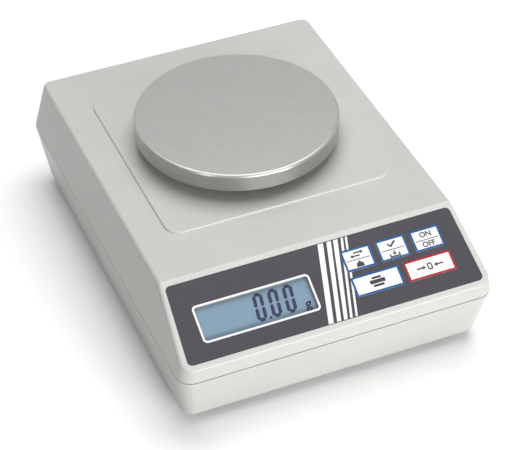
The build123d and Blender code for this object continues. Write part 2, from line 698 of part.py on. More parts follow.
def foot_wheel(x, y):
    """A knurled wheel with its threaded stud."""
    low = FOOT_PAD[1] + FOOT_GAP
    wheel = post(FOOT_WHEEL[0], low, low + FOOT_WHEEL[1], x, y)
    for i in range(FOOT_KNURLS):
        angle = 2 * math.pi * i / FOOT_KNURLS
        rim_x = x + FOOT_WHEEL[0] * math.cos(angle)
        rim_y = y + FOOT_WHEEL[0] * math.sin(angle)
        wheel -= Pos(rim_x, rim_y, low) * Box(FOOT_KNURL, FOOT_KNURL, 2 * FOOT_WHEEL[1] + 1)
    wheel += post(STUD_RADIUS, low, BASE_BOTTOM + STUD_HEIGHT, x, y)
    return wheel - post(FOOT_PIN[0] + FOOT_PIN_GAP, low - 1, low + FOOT_PIN[1] + FOOT_GAP, x, y)


def housing_screws():
    shelf = BASE_BOTTOM + PILLAR_SHELF
    fastener = screw(HOUSING_SCREW, HOUSING_SCREW_LENGTH, HOUSING_SCREW_HEAD)
    return [Pos(x, y, shelf) * fastener for x, y in PILLARS]


def load_cell():
    """Aluminium bending beam: two bores joined by a slot leave thin flexures above and below."""
    beam = block(
        (-CELL_WIDTH / 2, CELL_WIDTH / 2), (CELL_FRONT, CELL_REAR), (CELL_BOTTOM, CELL_TOP)
    )
    middle = (CELL_BOTTOM + CELL_TOP) / 2
    for side in (-1, 1):
        bore = extrude(Circle(CELL_BORE), CELL_WIDTH, both=True)
        beam -= Pos(0, PAN_Y + side * CELL_BORE_OFFSET, middle) * Rot(0, 90, 0) * bore
    beam -= Pos(0, PAN_Y, middle) * Box(2 * CELL_WIDTH, 2 * CELL_BORE_OFFSET, CELL_SLOT)
    for y in FIXED_SCREW_YS:
        beam -= post(M4_RADIUS + SCREW_GAP, CELL_BOTTOM - 1, CELL_BOTTOM + M4_ENGAGEMENT + 1, 0, y)
    for y in LIVE_SCREW_YS:
        beam -= post(M4_RADIUS + SCREW_GAP, CELL_TOP - M4_ENGAGEMENT - 1, CELL_TOP + 1, 0, y)
    return beam


def strain_gauges():
    """Four foil gauges over the flexures."""
    gauges = []
    for side in (-1, 1):
        y = PAN_Y + side * CELL_BORE_OFFSET
        gauges.append(Pos(0, y, CELL_TOP + GAUGE[2]) * plate(*GAUGE))
        gauges.append(Pos(0, y, CELL_BOTTOM) * plate(*GAUGE))
    return gauges


def cell_plinth():
    half = CELL_WIDTH / 2
    front = FIXED_SCREW_YS[1] - CELL_SCREW_INSET
    plinth = block((-half, half), (front, CELL_REAR), (CELL_BOTTOM - PLINTH_HEIGHT, CELL_BOTTOM))
    for y in FIXED_SCREW_YS:
        plinth -= post(M4_RADIUS + M4_HOLE_GAP, FLOOR, CELL_BOTTOM + 1, 0, y)
    return plinth


def cell_base_screws():
    low = cell_head_top()
    fastener = screw(M4_RADIUS, CELL_BOTTOM + M4_ENGAGEMENT - low, M4_HEAD)
    return [Pos(0, y, low) * fastener for y in FIXED_SCREW_YS]


def load_bracket():
    """Aluminium bracket that carries the load from the pan post to the live end."""
    half = BRACKET_WIDTH / 2
    front = CELL_FRONT - TAB_GAP - BRACKET_PLATE
    arm = block((-half, half), (front, PAN_Y + BRACKET_TAIL), (BRACKET_BOTTOM, BRACKET_TOP))
    arm = fillet(arm.edges().filter_by(Axis.Z).group_by(Axis.Y)[-1], half / 2)
    seat_rear = LIVE_SCREW_YS[1] + CELL_SCREW_INSET
    arm += block((-CELL_WIDTH / 2, CELL_WIDTH / 2), (CELL_FRONT, seat_rear), (CELL_TOP, BRACKET_TOP))
    tab = block((-half, half), (front, front + BRACKET_PLATE), (TAB_BOTTOM, BRACKET_TOP))
    tab = fillet(tab.edges().filter_by(Axis.Y).group_by(Axis.Z)[0], half / 4)
    arm += tab
    for side in (-1, 1):
        rib_x = side * (half - BRACKET_PLATE / 4)
        rib = block(
            (rib_x - BRACKET_PLATE / 4, rib_x + BRACKET_PLATE / 4),
            (front, PAN_Y - POST_FLANGE[0]),
            (BRACKET_TOP - 1, BRACKET_TOP + BRACKET_PLATE),
        )
        arm += rib
    for y in LIVE_SCREW_YS:
        arm -= post(M4_RADIUS + M4_HOLE_GAP, CELL_TOP - 1, BRACKET_TOP + 1, 0, y)
    return arm - post(SPIGOT_RADIUS / 2 + SCREW_GAP, BRACKET_BOTTOM - 1, BRACKET_TOP + 1, 0, PAN_Y)


def bracket_screws():
    fastener = Rot(180, 0, 0) * screw(M4_RADIUS, BRACKET_TOP - CELL_TOP + M4_ENGAGEMENT, M4_HEAD)
    return [Pos(0, y, BRACKET_TOP) * fastener for y in LIVE_SCREW_YS]


def pan_post():
    """Stepped post: a stub in the bracket, a flange, the shaft and the spigot for the pan support."""
    shaft = post(POST_FLANGE[0], BRACKET_TOP, BRACKET_TOP + POST_FLANGE[1], 0, PAN_Y)
    shaft += post(POST_RADIUS, BRACKET_TOP, POST_SHOULDER, 0, PAN_Y)
    shaft += post(SPIGOT_RADIUS, POST_SHOULDER - 1, POST_SHOULDER + SPIGOT_HEIGHT, 0, PAN_Y)
    shaft = chamfer(shaft.edges().group_by(Axis.Z)[-1], SPIGOT_RADIUS / 5)
    return shaft + post(SPIGOT_RADIUS / 2, BRACKET_BOTTOM, BRACKET_TOP + 1, 0, PAN_Y)


def overload_stop():
    """Set screw under the bracket's tab, with its lock nut on the base's boss."""
    nut_low = FLOOR + BASE_RIB_HEIGHT
    stud = post(M4_RADIUS, FLOOR, TAB_BOTTOM - DEFLECTION - STOP_GAP, 0, stop_y())
    nut_height = min(M4_HEAD[1] / 2, TAB_BOTTOM - DEFLECTION - STOP_GAP - nut_low)
    return stud + Pos(0, stop_y(), nut_low) * hex_bar(2 * M4_HEAD[0], nut_height)


def pan_support():
    """Ribbed plastic disc with a hub that drops over the post's spigot."""
    disc = post(SUPPORT_RADIUS, SUPPORT_BOTTOM, SUPPORT_TOP, 0, PAN_Y)
    disc += post(HUB_RADIUS, POST_SHOULDER, SUPPORT_TOP, 0, PAN_Y)
    for i in range(SUPPORT_RIBS):
        length = SUPPORT_RADIUS - 2
        rib = Box(length, SUPPORT_RIB, SUPPORT_RIB_DEPTH + 1, align=(Align.MIN, Align.CENTER, Align.MAX))
        disc += Pos(0, PAN_Y, SUPPORT_BOTTOM + 1) * Rot(0, 0, 360 * (i + 0.5) / SUPPORT_RIBS) * rib
    for x, y in buffer_places():
        disc -= post(BUFFER_STEM + SCREW_GAP, SUPPORT_BOTTOM - 1, SUPPORT_TOP + 1, x, y)
    socket = SPIGOT_RADIUS + SOCKET_CLEARANCE
    return disc - post(socket, POST_SHOULDER - 1, POST_SHOULDER + SPIGOT_HEIGHT + SPIGOT_TIP_GAP, 0, PAN_Y)


def buffer_places():
    """The rubber buffers' places, evenly round the pan support."""
    turns = [2 * math.pi * i / BUFFERS for i in range(BUFFERS)]
    return [(BUFFER_CIRCLE * math.cos(a), PAN_Y + BUFFER_CIRCLE * math.sin(a)) for a in turns]


def pan_buffers():
    buffers = []
    for x, y in buffer_places():
        buffer = post(BUFFER_RADIUS, SUPPORT_TOP, PAN_UNDERSIDE, x, y)
        buffers.append(buffer + post(BUFFER_STEM, SUPPORT_BOTTOM, SUPPORT_TOP + 1, x, y))
    return buffers


def weighing_pan():
    """Drawn stainless pan, open below, with a locating ring that drops round the pan support."""
    pan = post(PAN_RADIUS, PAN_BOTTOM, PAN_TOP, 0, PAN_Y)
    pan = fillet(pan.edges().group_by(Axis.Z)[-1], PAN_EDGE)
    pan -= post(PAN_RADIUS - PAN_SHEET, PAN_BOTTOM - 1, PAN_UNDERSIDE, 0, PAN_Y)
    pan = fillet(pan.edges().group_by(Axis.Z)[0], PAN_LIP)
    inner = SUPPORT_RADIUS + RING_GAP
    ring = post(inner + RING_WALL, PAN_UNDERSIDE - RING_HEIGHT, PAN_UNDERSIDE + PAN_SHEET / 2, 0, PAN_Y)
    return pan + (ring - post(inner, PAN_BOTTOM - 1, PAN_UNDERSIDE, 0, PAN_Y))


def keypad_overlay():
    film = on_panel(extrude(film_outline(), -FILM), 0, 0, FILM_SUNK)
    film -= on_panel(plate(*WINDOW, 2 * FILM_SEAT, WINDOW_CORNER), *WINDOW_AT)
    for size, across, up in KEYS.values():
        film -= on_panel(key_shape(size, KEY_GAP, 2 * FILM_SEAT), across, up)
    return film


def key(size, across, up):
    """A key: its cap in the film, and the plunger that reaches down to its switch."""
    cap = key_shape(size, 0.0, KEY_CAP)
    stem = extrude(Circle(PLUNGER_RADIUS), -plunger_depth())
    return on_panel(cap + stem, across, up)


def plunger_depth():
    """How far below the panel's surface a plunger ends, just over its switch at full travel."""
    return BOARD_DEPTH - SWITCH_BODY[1] - SWITCH_STEM[1] - KEY_TRAVEL - SWITCH_GAP


def display_window():
    """Clear pane: its middle fills the film's cut-out and its flange sits under the film."""
    size = [value - 2 * FILM_GAP for value in WINDOW]
    middle = plate(*size, WINDOW_THICK, WINDOW_CORNER)
    flange = [value + 2 * WINDOW_FLANGE for value in WINDOW]
    foot = plate(*flange, WINDOW_THICK - FILM, WINDOW_CORNER + WINDOW_FLANGE)
    return on_panel(middle, *WINDOW_AT, FILM_SUNK) + on_panel(foot, *WINDOW_AT, FILM_SEAT)


def lcd_glass():
    return on_panel(plate(*GLASS), *WINDOW_AT, GLASS_DEPTH + BEZEL_WALL)


def backlight():
    return on_panel(plate(*BACKLIGHT, 1.0), *WINDOW_AT, GLASS_DEPTH + BEZEL_WALL + GLASS[2])


def zebra_strips():
    """The two elastomer strips that join the glass's contacts to the board."""
    strips = []
    depth = GLASS_DEPTH + BEZEL_WALL + GLASS[2]
    offset = GLASS[1] / 2 - ZEBRA[1] / 2
    for side in (-1, 1):
        strip = plate(*ZEBRA, BOARD_DEPTH - depth)
        strips.append(on_panel(strip, WINDOW_AT[0], WINDOW_AT[1] + side * offset, depth))
    return strips


def lcd_bezel():
    """Stamped frame over the display glass, open at the window."""
    outer = [value + 2 * (BEZEL_GAP + BEZEL_WALL) for value in GLASS[:2]]
    inner = [value + 2 * BEZEL_GAP for value in GLASS[:2]]
    frame = on_panel(plate(*outer, BOARD_DEPTH - GLASS_DEPTH), *WINDOW_AT, GLASS_DEPTH)
    frame -= on_panel(plate(*inner, BOARD_DEPTH), *WINDOW_AT, GLASS_DEPTH + BEZEL_WALL)
    return frame - on_panel(plate(*WINDOW, BOARD_DEPTH), *WINDOW_AT, GLASS_DEPTH - 1)


def display_board():
    board = on_panel(plate(*BOARD, BOARD_THICK, BOARD_CORNER), *BOARD_AT, BOARD_DEPTH)
    for across, up in board_holes():
        hole = extrude(Circle(M2_RADIUS + M4_HOLE_GAP), -2 * BOARD_THICK)
        board -= on_panel(hole, across, up, BOARD_DEPTH - 1)
    return board


def display_board_screws():
    fastener = screw(M2_RADIUS, BOARD_THICK + M2_ENGAGEMENT - 1, M2_HEAD)
    return [on_panel(fastener, across, up, BOARD_DEPTH + BOARD_THICK) for across, up in board_holes()]


def tact_switches():
    """One switch under each key: a square body and a round stem."""
    switches = []
    for size, across, up in KEYS.values():
        body = extrude(Rectangle(SWITCH_BODY[0], SWITCH_BODY[0]), SWITCH_BODY[1])
        stem = extrude(Circle(SWITCH_STEM[0]), SWITCH_BODY[1] + SWITCH_STEM[1])
        switches.append(on_panel(body + stem, across, up, BOARD_DEPTH))
    return switches


def main_board():
    x, y = MAIN_BOARD_AT
    bottom = FLOOR + MAIN_BOARD_LIFT
    board = Pos(x, y, bottom + BOARD_THICK) * plate(*MAIN_BOARD, BOARD_THICK, BOARD_CORNER)
    for hole_x, hole_y in main_board_holes():
        board -= post(M2_RADIUS + M4_HOLE_GAP, bottom - 1, bottom + BOARD_THICK + 1, hole_x, hole_y)
    return board


def board_components():
    """Chips, capacitors and relay-sized blocks on the main board."""
    x, y = MAIN_BOARD_AT
    top = main_board_top()
    parts = []
    for dx, dy, width, length, height in CHIPS:
        parts.append(Pos(x + dx, y + dy, top + height) * plate(width, length, height))
    return parts


def main_board_screws():
    fastener = Rot(180, 0, 0) * screw(M2_RADIUS, BOARD_THICK + M2_ENGAGEMENT - 1, M2_HEAD)
    return [Pos(x, y, main_board_top()) * fastener for x, y in main_board_holes()]


def board_headers():
    """The plug headers: for the ribbon on both boards, and for the cell's and battery's leads."""
    width, length, height = HEADER
    top = main_board_top() + height
    ribbon_header = plate(RIBBON[0] + 2 * HEADER_END, length, height)
    upper = on_panel(ribbon_header, MAIN_BOARD_AT[0], BOARD_ROW, BOARD_DEPTH + BOARD_THICK)
    lower = Pos(MAIN_BOARD_AT[0], ribbon_header_y(), top) * ribbon_header
    header = plate(width, width, height)
    others = [Pos(header_x(), y, top) * header for y in (cell_lead_y(), battery_lead_y())]
    return [upper, lower, *others]


def main_board_top():
    """Height of the main board's upper face."""
    return FLOOR + MAIN_BOARD_LIFT + BOARD_THICK


def header_x():
    """Where the lead headers stand, along the main board's left edge."""
    return MAIN_BOARD_AT[0] - MAIN_BOARD[0] / 2 + MAIN_BOARD_INSET


def ribbon_header_y():
    """Where the ribbon's header stands, near the main board's front edge."""
    return MAIN_BOARD_AT[1] - MAIN_BOARD[1] / 2 + MAIN_BOARD_INSET


def cell_lead_y():
    """The load cell's lead leaves the middle of the beam's fixed end."""
    return CELL_REAR - CELL_END / 2


def battery_lead_y():
    """The battery's leads cross under the beam, in front of its plinth."""
    return CELL_REAR - CELL_END - HEADER[0]


def display_ribbon():
    """Flat ribbon from the display board down to the main board, as it hangs between its headers."""
    start = (PANEL * Pos(0, BOARD_ROW, -(BOARD_DEPTH + BOARD_THICK + HEADER[2]))).position
    exit_run = (PANEL * Pos(0, BOARD_ROW, -(BOARD_DEPTH + BOARD_THICK + HEADER[2] + RIBBON_EXIT))).position
    end_y = ribbon_header_y()
    end_z = main_board_top() + HEADER[2]
    low_y = (exit_run.Y + end_y) / 2
    route = FilletPolyline(
        (start.Y, start.Z),
        (exit_run.Y, exit_run.Z),
        (low_y, end_z),
        (end_y, end_z + RIBBON_EXIT),
        (end_y, end_z),
        radius=RIBBON_BENDS,
    )
    strip = extrude(trace(route, RIBBON[1]), RIBBON[0] / 2, both=True)
    return Plane.YZ.offset(MAIN_BOARD_AT[0]) * strip


def round_lead(points, bends, radius):
    """A round lead along straight runs joined by arcs."""
    route = FilletPolyline(*points, radius=bends)
    return sweep(Plane(route ^ 0) * Circle(radius), path=route)


def cell_lead():
    """Screened lead from the beam's fixed end to its header."""
    y = cell_lead_y()
    end_z = main_board_top() + HEADER[2]
    high = end_z + CELL_LEAD_RISE
    points = ((CELL_WIDTH / 2, y, high), (header_x(), y, high), (header_x(), y, end_z))
    return round_lead(points, CELL_LEAD_BEND, CELL_LEAD_RADIUS)


def battery_leads():
    """Two wires from the battery snap, under the beam and up to their header."""
    low = CELL_BOTTOM - BATTERY_LEAD_DROP
    high = main_board_top() + HEADER[2] / 2
    end_x = header_x() - HEADER[0] / 2
    start_y = COMPARTMENT_FRONT + BATTERY_GAP / 2
    wires = []
    for side in (-1, 1):
        x = BATTERY_AT[0] + side * BATTERY_LEAD_SPREAD
        y = battery_lead_y() + side * BATTERY_LEAD_SPREAD
        points = (
            (x, start_y, low),
            (x, y, low),
            (CELL_WIDTH / 2, y, low),
            (end_x - BATTERY_LEAD_EXIT, y, high),
            (end_x, y, high),
        )
        wires.append(round_lead(points, BATTERY_LEAD_BENDS, BATTERY_LEAD_RADIUS))
    return wires


def battery_lead_slot():
    """The notch in the compartment's front wall that the battery's leads pass through."""
    half = BATTERY_LEAD_SPREAD + 2 * BATTERY_LEAD_RADIUS
    low = CELL_BOTTOM - BATTERY_LEAD_DROP
    x = BATTERY_AT[0]
    y_range = (COMPARTMENT_FRONT - 2 * COMPARTMENT_WALL, COMPARTMENT_FRONT + BATTERY_GAP)
    z_range = (low - 2 * BATTERY_LEAD_RADIUS, low + 2 * BATTERY_LEAD_RADIUS)
    return block((x - half, x + half), y_range, z_range)


def dc_jack():
    """Power socket: a body behind the wall with a round neck through it, and the contact pin."""
    width, length, height = JACK_BODY
    body = extrude(Rectangle(width, height), -length)
    jack = facing_rear(body, JACK_X, CONNECTOR_Z, -WALL)
    neck = extrude(Circle(JACK_NECK), -NECK_LENGTH - WALL - 1)
    jack += facing_rear(neck, JACK_X, CONNECTOR_Z, NECK_LENGTH)
    jack -= facing_rear(extrude(Circle(JACK_BORE), -JACK_DEPTH), JACK_X, CONNECTOR_Z, NECK_LENGTH)
    pin = extrude(Circle(JACK_PIN), JACK_DEPTH - JACK_PIN)
    return [jack, facing_rear(pin, JACK_X, CONNECTOR_Z, NECK_LENGTH - JACK_DEPTH)]


def serial_connector():
    """Nine-pin connector: flange on the recess face, D-shaped shell, and body behind the wall."""
    flange = plate(PORT_FLANGE[0], PORT_FLANGE[1], PORT_FLANGE[2], 1.0)
    connector = facing_rear(flange, PORT_X, CONNECTOR_Z, PORT_FLANGE[2])
    for hole_x in port_screw_xs():
        hole = extrude(Circle(HEX_STUD + M4_HOLE_GAP), 2, both=True)
        connector -= facing_rear(hole, hole_x, CONNECTOR_Z)
    shell = extrude(port_outline() - port_outline(-PORT_SHELL_WALL), PORT_SHELL_LENGTH)
    connector += facing_rear(shell, PORT_X, CONNECTOR_Z, PORT_FLANGE[2])
    body = extrude(Rectangle(PORT_BODY[0], PORT_BODY[1]), -PORT_BODY[2])
    connector += facing_rear(body, PORT_X, CONNECTOR_Z)
    for count, row in ((5, PORT_ROW), (4, -PORT_ROW)):
        for i in range(count):
            place = (i - (count - 1) / 2) * PORT_PIN_PITCH
            pin = Pos(place, row) * extrude(Circle(PORT_PIN), PORT_SHELL_LENGTH - 1)
            connector += facing_rear(pin, PORT_X, CONNECTOR_Z, PORT_FLANGE[2])
    return connector


def port_screw_xs():
    """Where the serial connector's two jack screws are."""
    return [PORT_X - PORT_PITCH / 2, PORT_X + PORT_PITCH / 2]


def serial_jack_screws():
    """Hexagonal pillars, with a stud in the flange and a threaded bore for a plug's thumb screws."""
    bar = hex_bar(2 * HEX_SCREW[0], HEX_SCREW[1]) + extrude(Circle(HEX_STUD), -PORT_FLANGE[2])
    bar -= Pos(0, 0, HEX_SCREW[1] - HEX_BORE_DEPTH) * extrude(Circle(HEX_BORE), HEX_BORE_DEPTH)
    return [facing_rear(bar, x, CONNECTOR_Z, PORT_FLANGE[2]) for x in port_screw_xs()]


def write(name, shape):
    """Writes one piece, or a group of separate solids, under its own name."""
    solids = shape if isinstance(shape, list) else [shape]
    whole = solids[0] if len(solids) == 1 else Compound(children=solids)
    whole.label = name
    export_step(whole, f"parts/{name}.step")


PIECES = {
    "base_shell": base_shell,
    "top_cover": top_cover,
    "battery_door": battery_door,
    "battery": battery,
    "battery_snap": battery_snap,
    "foot_inserts": foot_inserts,
    "housing_screws": housing_screws,
    "load_cell": load_cell,
    "strain_gauges": strain_gauges,
    "cell_plinth": cell_plinth,
    "cell_base_screws": cell_base_screws,
    "load_bracket": load_bracket,
    "bracket_screws": bracket_screws,
    "pan_post": pan_post,
    "overload_stop": overload_stop,
    "pan_support": pan_support,
    "pan_buffers": pan_buffers,
    "weighing_pan": weighing_pan,
    "keypad_overlay": keypad_overlay,
    "display_window": display_window,
    "lcd_glass": lcd_glass,
    "lcd_bezel": lcd_bezel,
    "backlight": backlight,
    "zebra_strips": zebra_strips,
    "display_board": display_board,
    "display_board_screws": display_board_screws,
    "tact_switches": tact_switches,
    "main_board": main_board,
    "board_components": board_components,
    "main_board_screws": main_board_screws,
    "board_headers": board_headers,
    "display_ribbon": display_ribbon,
    "cell_lead": cell_lead,
    "battery_leads": battery_leads,
    "dc_jack": dc_jack,
    "serial_connector": serial_connector,
    "serial_jack_screws": serial_jack_screws,
}

os.makedirs("parts", exist_ok=True)
for name, make in PIECES.items():
    write(name, make())
for name, (size, across, up) in KEYS.items():
    write(name, key(size, across, up))
for place, (x, y) in FEET.items():
    write(f"foot_pad_{place}", foot_pad(x, y))
    write(f"foot_wheel_{place}", foot_wheel(x, y))
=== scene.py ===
"""Dresses the top-loading balance: finishes, printed panel, display, floor, lamps and camera."""
import json
import math

import bmesh
import bpy
from mathutils import Matrix, Vector


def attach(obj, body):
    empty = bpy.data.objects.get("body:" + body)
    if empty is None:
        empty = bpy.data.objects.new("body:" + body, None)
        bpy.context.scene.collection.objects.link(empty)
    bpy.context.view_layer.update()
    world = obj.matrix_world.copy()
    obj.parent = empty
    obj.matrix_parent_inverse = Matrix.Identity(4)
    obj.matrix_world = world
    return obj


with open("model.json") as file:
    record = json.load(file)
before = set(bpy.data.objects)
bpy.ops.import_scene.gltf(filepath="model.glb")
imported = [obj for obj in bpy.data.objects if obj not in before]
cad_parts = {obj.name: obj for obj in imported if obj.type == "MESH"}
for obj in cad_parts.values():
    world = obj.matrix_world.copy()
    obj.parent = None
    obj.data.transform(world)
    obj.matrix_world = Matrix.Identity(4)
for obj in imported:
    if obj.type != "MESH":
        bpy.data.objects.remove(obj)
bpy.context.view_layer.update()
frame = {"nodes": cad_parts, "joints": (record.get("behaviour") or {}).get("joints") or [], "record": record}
MM = 0.001
WHITE = "#FFFFFF"

# Camera, fitted to corner and edge points of the photograph
CAMERA_AT = (-0.293085, -0.732129, 0.677371)
CAMERA_TOWARDS = (-0.033144, -0.092362, 0.099977)
CAMERA_ROLL = -1.005
CAMERA_CLIP = (0.05, 20)
LENS = 136.31
SENSOR = 36.0

# Panel axes: across, up the slope, and out of the panel against the keys' travel
ACROSS = Vector((1, 0, 0))
OUT = -Vector(next(joint for joint in frame["joints"] if joint["name"] == "key_tare_press")["axis"])
UP = OUT.cross(ACROSS)


def linked(name, data):
    """A new object of the scene that holds a mesh, a lamp or a camera."""
    made = bpy.data.objects.new(name, data)
    bpy.context.scene.collection.objects.link(made)
    return made


# ---------------------------------------------------------------- materials

PATCH_STOPS = (0.3, 0.7)
PATCH_DETAIL = 3.0
GRAIN_DETAIL = 2.0


def linear(hex_colour):
    """An sRGB hex colour as the linear values that a shader takes."""
    parts = [int(hex_colour[i : i + 2], 16) / 255 for i in (1, 3, 5)]
    return tuple(c / 12.92 if c <= 0.04045 else ((c + 0.055) / 1.055) ** 2.4 for c in parts) + (1.0,)


def add(tree, kind, inputs=None, **settings):
    """Adds a node with its settings. An input is a number, a colour or another node's socket."""
    made = tree.nodes.new(kind)
    for key, value in settings.items():
        setattr(made, key, value)
    for key, value in (inputs or {}).items():
        if isinstance(value, bpy.types.NodeSocket):
            tree.links.new(value, made.inputs[key])
        else:
            made.inputs[key].default_value = value
    return made


def blank(name):
    """A new material and its empty node tree."""
    made = bpy.data.materials.new(name)
    made.use_nodes = True
    made.node_tree.nodes.clear()
    return made, made.node_tree


def noise(tree, place, size, detail):
    """The socket of a soft noise whose spots are some millimetres wide."""
    made = add(tree, "ShaderNodeTexNoise", {"Vector": place, "Scale": 1 / (size * MM), "Detail": detail})
    return made.outputs["Fac"]


def material(
    name, inputs, colours=None, *, patch=None, grain, height, uneven=0.0, stretch=(1, 1, 1), rubbed=None
):
    """A Principled material: two tones in soft patches, a grain in relief and uneven gloss.

    patch, grain and height are millimetres: the size of a patch, the size of a grain and how high it stands.
    uneven is how far the roughness strays, stretch scales the pattern's coordinates, and rubbed is the way in
    which a metal's reflections are drawn out.
    """
    made, tree = blank(name)
    inputs = dict(inputs)
    place = add(tree, "ShaderNodeTexCoord").outputs["Object"]
    place = add(tree, "ShaderNodeMapping", {"Vector": place, "Scale": stretch}).outputs[0]
    if colours:
        tones = add(tree, "ShaderNodeValToRGB", {"Fac": noise(tree, place, patch, PATCH_DETAIL)})
        for stop, at, colour in zip(tones.color_ramp.elements, PATCH_STOPS, colours):
            stop.position = at
            stop.color = linear(colour)
        inputs["Base Color"] = tones.outputs["Color"]
    relief = noise(tree, place, grain, GRAIN_DETAIL)
    bump = add(tree, "ShaderNodeBump", {"Height": relief, "Distance": height * MM, "Strength": 1.0})
    inputs["Normal"] = bump.outputs["Normal"]
    if uneven:
        middle = inputs["Roughness"]
        reach = {"Value": relief, "To Min": middle - uneven, "To Max": middle + uneven}
        inputs["Roughness"] = add(tree, "ShaderNodeMapRange", reach).outputs["Result"]
    if rubbed:
        inputs["Tangent"] = add(tree, "ShaderNodeCombineXYZ", dict(zip("XYZ", rubbed))).outputs[0]
    surface = add(tree, "ShaderNodeBsdfPrincipled", inputs)
    add(tree, "ShaderNodeOutputMaterial", {"Surface": surface.outputs["BSDF"]})
    return made


# Moulded ABS with a fine spark-eroded face: pale warm grey, a soft sheen and no sharp reflections
moulded_abs = material(
    "moulded_abs", {"Roughness": 0.36, "IOR": 1.54}, ("#D1D0CC", "#D5D4D0"),
    patch=30, grain=0.5, height=0.006, uneven=0.05,
)
# Polyester film printed on its back: even dark grey with a satin face
polyester_film = material(
    "polyester_film", {"Roughness": 0.45, "IOR": 1.5, "Specular IOR Level": 0.3}, ("#434147", "#47454B"),
    patch=12, grain=0.35, height=0.003, uneven=0.04,
)
# The keys' film, printed white: clean and slightly cool
key_film = material(
    "key_film", {"Roughness": 0.38, "IOR": 1.6}, ("#F4F4F6", "#F8F8FA"),
    patch=10, grain=0.35, height=0.002, uneven=0.03,
)
# Clear acrylic over the display: all but invisible, with a trace of a soft sheen
clear_acrylic = material(
    "clear_acrylic", {"Base Color": linear("#F2F6F8"), "Roughness": 0.3, "IOR": 1.49, "Alpha": 0.02},
    grain=6, height=0.001,
)
# Stainless steel, rubbed with fine grit: soft reflections without single lines, drawn out upright on the rim
satin_stainless = material(
    "satin_stainless", {"Metallic": 1.0, "Roughness": 0.32, "Anisotropic": 0.7}, ("#A6A5A3", "#AAA9A7"),
    patch=6, grain=0.4, height=0.001, uneven=0.03, rubbed=(0.02, 0.0, 1.0),
)
# Zinc-plated steel: bright, slightly blue and a little uneven
zinc_plate = material(
    "zinc_plate", {"Metallic": 1.0, "Roughness": 0.32}, ("#A9AEB2", "#BCC0C2"),
    patch=2, grain=0.3, height=0.003, uneven=0.08,
)
# Milled aluminium: pale, with the cutter's marks along the beam
milled_aluminium = material(
    "milled_aluminium", {"Metallic": 1.0, "Roughness": 0.36}, ("#C9CBCD", "#D3D5D6"),
    patch=4, grain=0.5, height=0.004, uneven=0.06, stretch=(1, 0.1, 1),
)
# Turned brass: warm yellow, bright
turned_brass = material(
    "turned_brass", {"Metallic": 1.0, "Roughness": 0.28}, ("#C9A558", "#D6B56B"),
    patch=2, grain=0.2, height=0.002, uneven=0.06,
)
# Moulded black plastic: near black, dull
black_abs = material(
    "black_abs", {"Roughness": 0.5, "IOR": 1.54}, ("#1B1B1C", "#222223"),
    patch=6, grain=0.3, height=0.006, uneven=0.06,
)
# Nitrile rubber: black with a grey bloom, no gloss
nitrile_rubber = material(
    "nitrile_rubber", {"Roughness": 0.78, "IOR": 1.52}, ("#222222", "#2C2B2A"),
    patch=3, grain=0.25, height=0.01, uneven=0.08,
)
# Glass-fibre board under green solder mask: glossy green, faintly uneven like the weave below
solder_mask = material(
    "solder_mask", {"Roughness": 0.3, "IOR": 1.55}, ("#1E5B36", "#2A6B42"),
    patch=1.5, grain=0.6, height=0.004, uneven=0.05,
)
# Polyimide foil of the strain gauges: amber, smooth
polyimide_foil = material(
    "polyimide_foil", {"Roughness": 0.35, "IOR": 1.7}, ("#B9873A", "#C8984A"),
    patch=1, grain=0.3, height=0.003, uneven=0.05,
)
# Tinned steel battery can: grey with a dull shine
battery_can = material(
    "battery_can", {"Metallic": 0.6, "Roughness": 0.4}, ("#50545A", "#5C6066"),
    patch=5, grain=0.3, height=0.003, uneven=0.05,
)
# Moulded nylon: off-white, slightly waxy
moulded_nylon = material(
    "moulded_nylon", {"Roughness": 0.45, "IOR": 1.53}, ("#DEDCD2", "#E6E4DA"),
    patch=2, grain=0.3, height=0.004, uneven=0.05,
)
# Soft cable sheath: mid grey, dull
cable_vinyl = material(
    "cable_vinyl", {"Roughness": 0.6, "IOR": 1.5}, ("#55575A", "#606265"),
    patch=2, grain=0.3, height=0.006, uneven=0.06,
)
# Milky acrylic light guide: white, even
opal_acrylic = material(
    "opal_acrylic", {"Roughness": 0.3, "IOR": 1.49}, ("#E8ECEC", "#F2F5F5"),
    patch=5, grain=0.4, height=0.002, uneven=0.04,
)
# Display glass, faintly lit from behind: blue-grey in two close tones
display_glass = material(
    "display_glass",
    {
        "Roughness": 0.4, "IOR": 1.5, "Specular IOR Level": 0.3,
        "Emission Color": linear("#7F9DB3"), "Emission Strength": 0.06,
    },
    ("#748FA3", "#7B98AC"), patch=25, grain=0.5, height=0.001, uneven=0.03,
)


def ink(name, colour, shade):
    """A screen-printed ink: one colour in two close tones, with little shine and the mesh's faint relief."""
    surface = {"Roughness": 0.45, "IOR": 1.5, "Specular IOR Level": 0.25}
    return material(name, surface, (colour, shade), patch=3, grain=0.3, height=0.002, uneven=0.04)


# Screen-printed inks of the panel and the keys
white_ink = ink("white_ink", "#F6F6F8", "#FBFBFD")
blue_ink = ink("blue_ink", "#0D5796", "#115E9F")
red_ink = ink("red_ink", "#B40E1A", "#BC1420")
grey_ink = ink("grey_ink", "#3C3B41", "#434248")
# Liquid crystal segments that are on: navy, nearly black
segment_ink = ink("segment_ink", "#0A0843", "#0D0B48")

